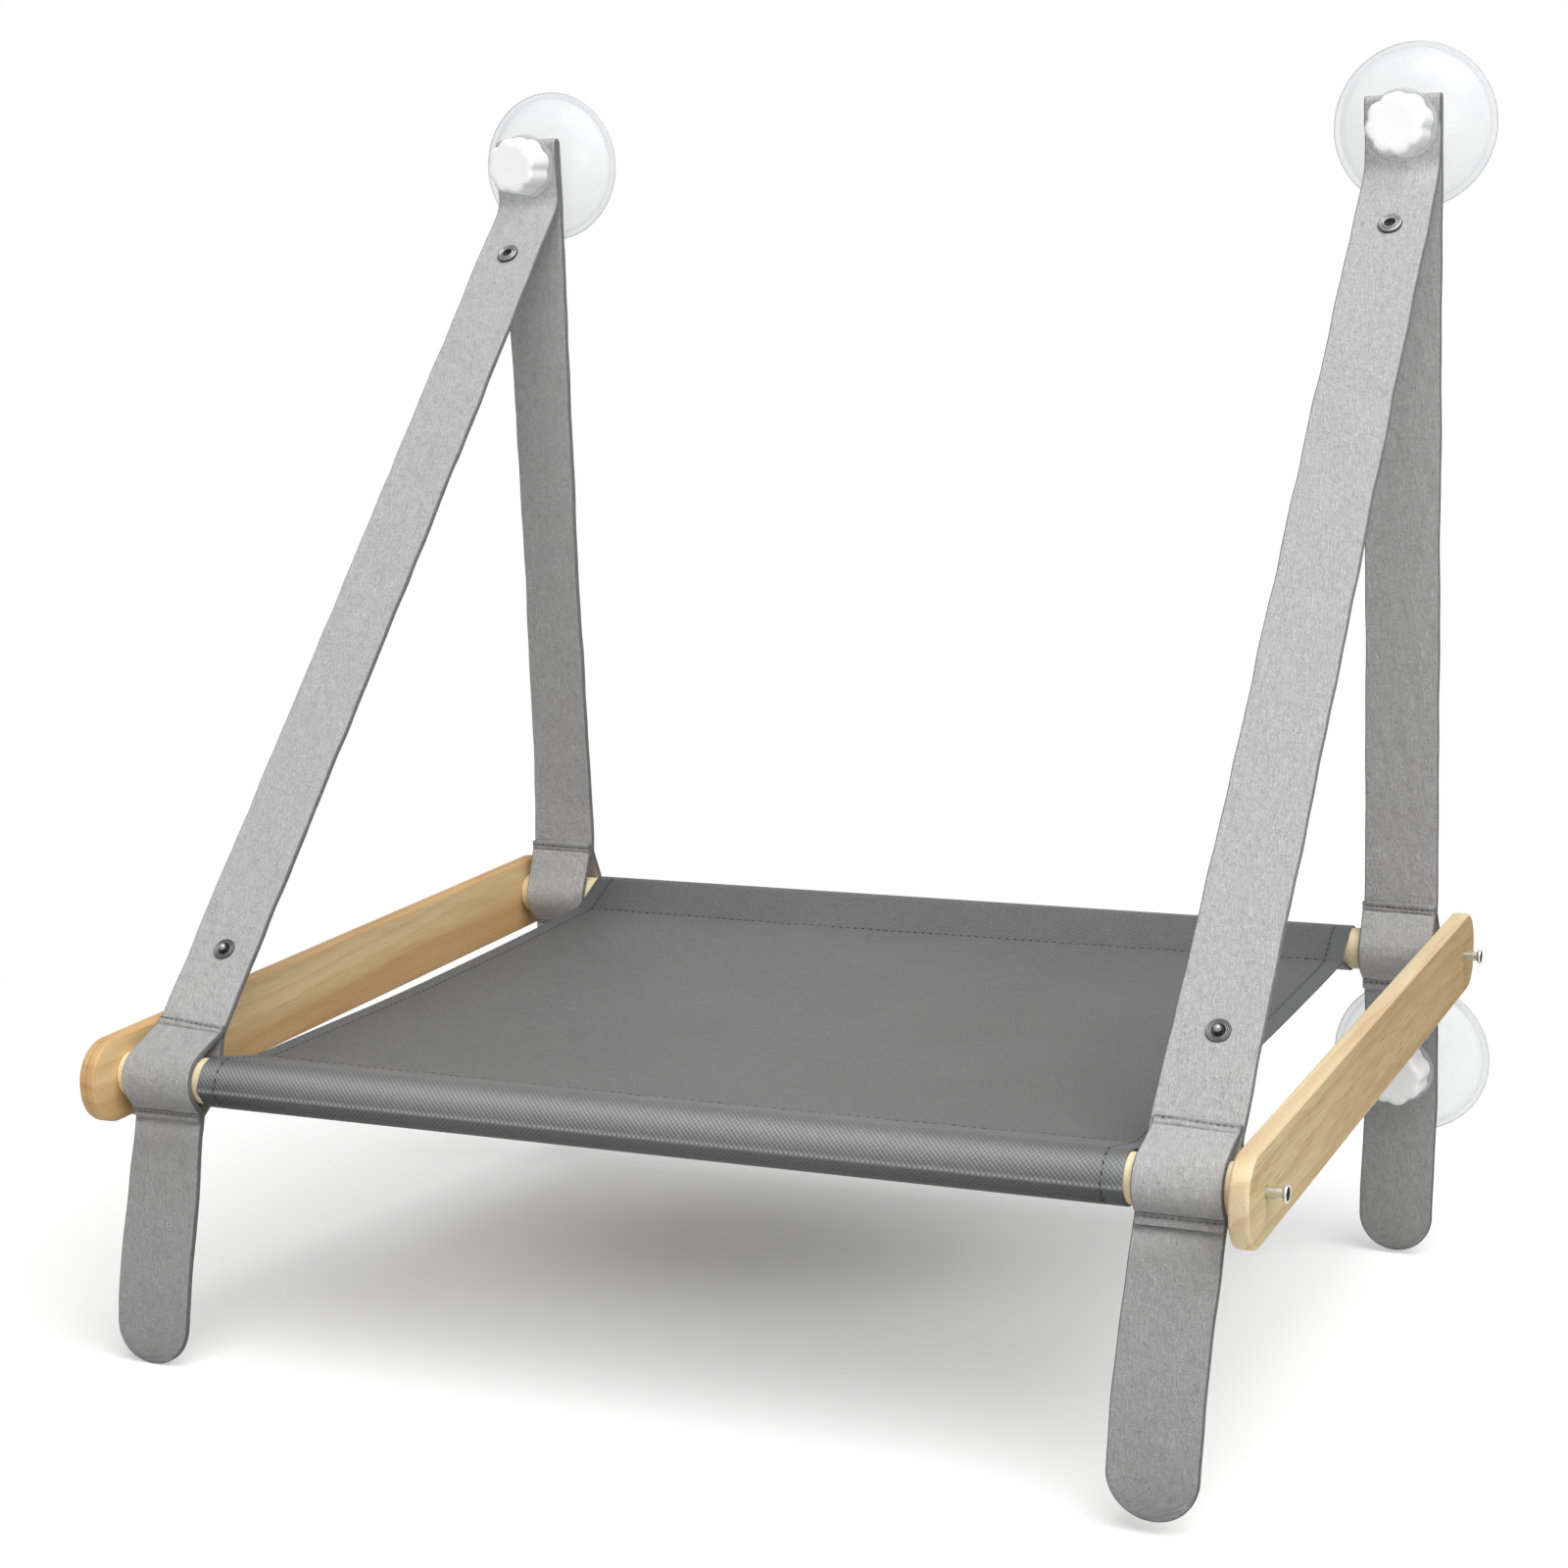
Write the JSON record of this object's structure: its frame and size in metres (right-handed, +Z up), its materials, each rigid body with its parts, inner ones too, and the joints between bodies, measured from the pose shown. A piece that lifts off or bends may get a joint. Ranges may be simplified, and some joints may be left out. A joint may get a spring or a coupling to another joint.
{
  "type": "cat window hammock",
  "caption": "Fabric cat bed on a pine frame, hung from a window by felt straps and suction cups, that folds up against the glass.",
  "frame": {"origin": "on the glass plane, midway between the centres of the two upper suction cups", "axes": "+X along the window to the right as seen from the room, +Y into the glass, +Z up"},
  "size_m": [0.5942, 0.4819, 0.6396],
  "materials": {
    "pine": "planed and clear-sealed",
    "pine_dowel": "turned, bare",
    "sling_cloth": "woven polyester canvas",
    "felt": "pressed felt",
    "clear_vinyl": "clear soft vinyl",
    "clear_washer": "clear plastic",
    "white_knob": "moulded white plastic, satin",
    "snap_gunmetal": "dark nickel plate",
    "bolt_steel": "zinc plate",
    "screw_steel": "zinc plate",
    "insert_brass": "plain brass"
  },
  "bodies": {
    "root": {"left_back_strap": "felt", "left_back_patch": "felt", "left_upper_suction_cup": "clear_vinyl", "left_upper_screw": "screw_steel", "left_upper_washer": "clear_washer", "left_lower_suction_cup": "clear_vinyl", "left_lower_screw": "screw_steel", "left_lower_washer": "clear_washer", "right_back_strap": "felt", "right_back_patch": "felt", "right_upper_suction_cup": "clear_vinyl", "right_upper_screw": "screw_steel", "right_upper_washer": "clear_washer", "right_lower_suction_cup": "clear_vinyl", "right_lower_screw": "screw_steel", "right_lower_washer": "clear_washer"},
    "bed": {"left_side_board": "pine", "right_side_board": "pine", "back_dowel": "pine_dowel", "front_dowel": "pine_dowel", "sling": "sling_cloth", "left_back_bolt": "bolt_steel", "left_back_insert": "insert_brass", "left_front_bolt": "bolt_steel", "left_front_insert": "insert_brass", "right_back_bolt": "bolt_steel", "right_back_insert": "insert_brass", "right_front_bolt": "bolt_steel", "right_front_insert": "insert_brass"},
    "left_upper_knob": {"left_upper_knob": "white_knob"},
    "left_lower_knob": {"left_lower_knob": "white_knob"},
    "left_strap_upper": {"left_front_strap_upper": "felt", "left_snap_socket": "snap_gunmetal", "left_snap_socket_cap": "snap_gunmetal"},
    "left_strap_loop": {"left_front_strap_loop": "felt", "left_front_patch": "felt"},
    "left_strap_lower": {"left_front_strap_lower": "felt", "left_snap_stud": "snap_gunmetal", "left_snap_stud_cap": "snap_gunmetal"},
    "right_upper_knob": {"right_upper_knob": "white_knob"},
    "right_lower_knob": {"right_lower_knob": "white_knob"},
    "right_strap_upper": {"right_front_strap_upper": "felt", "right_snap_socket": "snap_gunmetal", "right_snap_socket_cap": "snap_gunmetal"},
    "right_strap_loop": {"right_front_strap_loop": "felt", "right_front_patch": "felt"},
    "right_strap_lower": {"right_front_strap_lower": "felt", "right_snap_stud": "snap_gunmetal", "right_snap_stud_cap": "snap_gunmetal"}
  },
  "joints": [
    {"name": "bed_fold", "type": "hinge", "parent": "root", "child": "bed", "pos_m": [0, -0.0296, -0.4327], "axis": [-1, 0, 0], "range_deg": [0, 79.07], "deforming": ["left_front_strap_lower", "right_front_strap_lower"]},
    {"name": "left_strap_swing", "type": "hinge", "parent": "root", "child": "left_strap_upper", "pos_m": [-0.254, -0.0308, -0.0217], "axis": [1, 0, 0], "range_deg": [0, 40.13]},
    {"name": "left_loop_turn", "type": "hinge", "parent": "bed", "child": "left_strap_loop", "pos_m": [-0.254, -0.4296, -0.4327], "axis": [1, 0, 0], "range_deg": [0, 27.33]},
    {"name": "left_strap_fold", "type": "hinge", "parent": "left_strap_loop", "child": "left_strap_lower", "pos_m": [-0.254, -0.38417, -0.39039], "axis": [-1, 0, 0], "range_deg": [0, 86.54]},
    {"name": "right_strap_swing", "type": "hinge", "parent": "root", "child": "right_strap_upper", "pos_m": [0.254, -0.0308, -0.0217], "axis": [1, 0, 0], "range_deg": [0, 40.13]},
    {"name": "right_loop_turn", "type": "hinge", "parent": "bed", "child": "right_strap_loop", "pos_m": [0.254, -0.4296, -0.4327], "axis": [1, 0, 0], "range_deg": [0, 27.33]},
    {"name": "right_strap_fold", "type": "hinge", "parent": "right_strap_loop", "child": "right_strap_lower", "pos_m": [0.254, -0.38417, -0.39039], "axis": [-1, 0, 0], "range_deg": [0, 86.54]},
    {"name": "left_upper_knob_turn", "type": "hinge", "parent": "root", "child": "left_upper_knob", "pos_m": [-0.254, -0.0296, 0], "axis": [0, -1, 0], "continuous": true},
    {"name": "left_lower_knob_turn", "type": "hinge", "parent": "root", "child": "left_lower_knob", "pos_m": [-0.254, -0.0296, -0.4987], "axis": [0, -1, 0], "continuous": true},
    {"name": "right_upper_knob_turn", "type": "hinge", "parent": "root", "child": "right_upper_knob", "pos_m": [0.254, -0.0296, 0], "axis": [0, -1, 0], "continuous": true},
    {"name": "right_lower_knob_turn", "type": "hinge", "parent": "root", "child": "right_lower_knob", "pos_m": [0.254, -0.0296, -0.4987], "axis": [0, -1, 0], "continuous": true}
  ],
  "couplings": [
    {"joint": "left_strap_swing", "follows": "bed_fold", "ratio": 0.50738},
    {"joint": "left_loop_turn", "follows": "bed_fold", "ratio": 0.34548},
    {"joint": "left_strap_fold", "follows": "bed_fold", "ratio": 1.0943},
    {"joint": "right_strap_swing", "follows": "bed_fold", "ratio": 0.50738},
    {"joint": "right_loop_turn", "follows": "bed_fold", "ratio": 0.34548},
    {"joint": "right_strap_fold", "follows": "bed_fold", "ratio": 1.0943}
  ]
}
